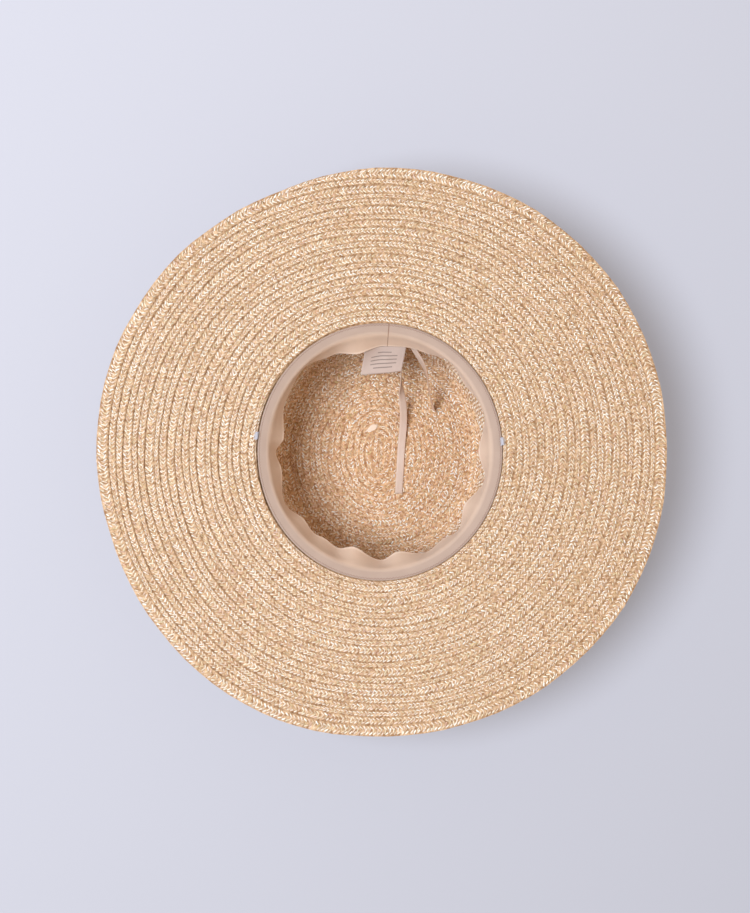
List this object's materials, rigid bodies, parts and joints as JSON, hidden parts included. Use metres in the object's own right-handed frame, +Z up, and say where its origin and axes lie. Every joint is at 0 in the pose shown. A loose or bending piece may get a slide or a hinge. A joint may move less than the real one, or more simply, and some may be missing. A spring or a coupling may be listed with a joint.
{
  "type": "straw boater hat",
  "caption": "Wide flat-brimmed straw boater with a flat-topped crown, cloth sweatband, blank label and size-adjusting tape, lying crown down.",
  "frame": {"origin": "middle of the bottom of the hat as it lies upside down on its crown: on the outer face of the tip", "axes": "+Z up through the head opening, +Y to the back of the hat, +X to the right of the picture"},
  "size_m": [0.4126, 0.4102, 0.0878],
  "materials": {
    "straw": "natural plaited straw, satin strands with pale glints",
    "band_cloth": "matt beige-pink cotton cloth",
    "label_satin": "off-white satin, blank",
    "tape_cloth": "soft pinkish off-white woven tape",
    "tack_thread": "pale blue-white sewing thread"
  },
  "bodies": {
    "root": {"crown": "straw", "brim": "straw", "sweatband": "band_cloth", "label": "label_satin", "tape_long": "tape_cloth", "tape_short": "tape_cloth", "tack_left": "tack_thread", "tack_right": "tack_thread"}
  },
  "joints": []
}
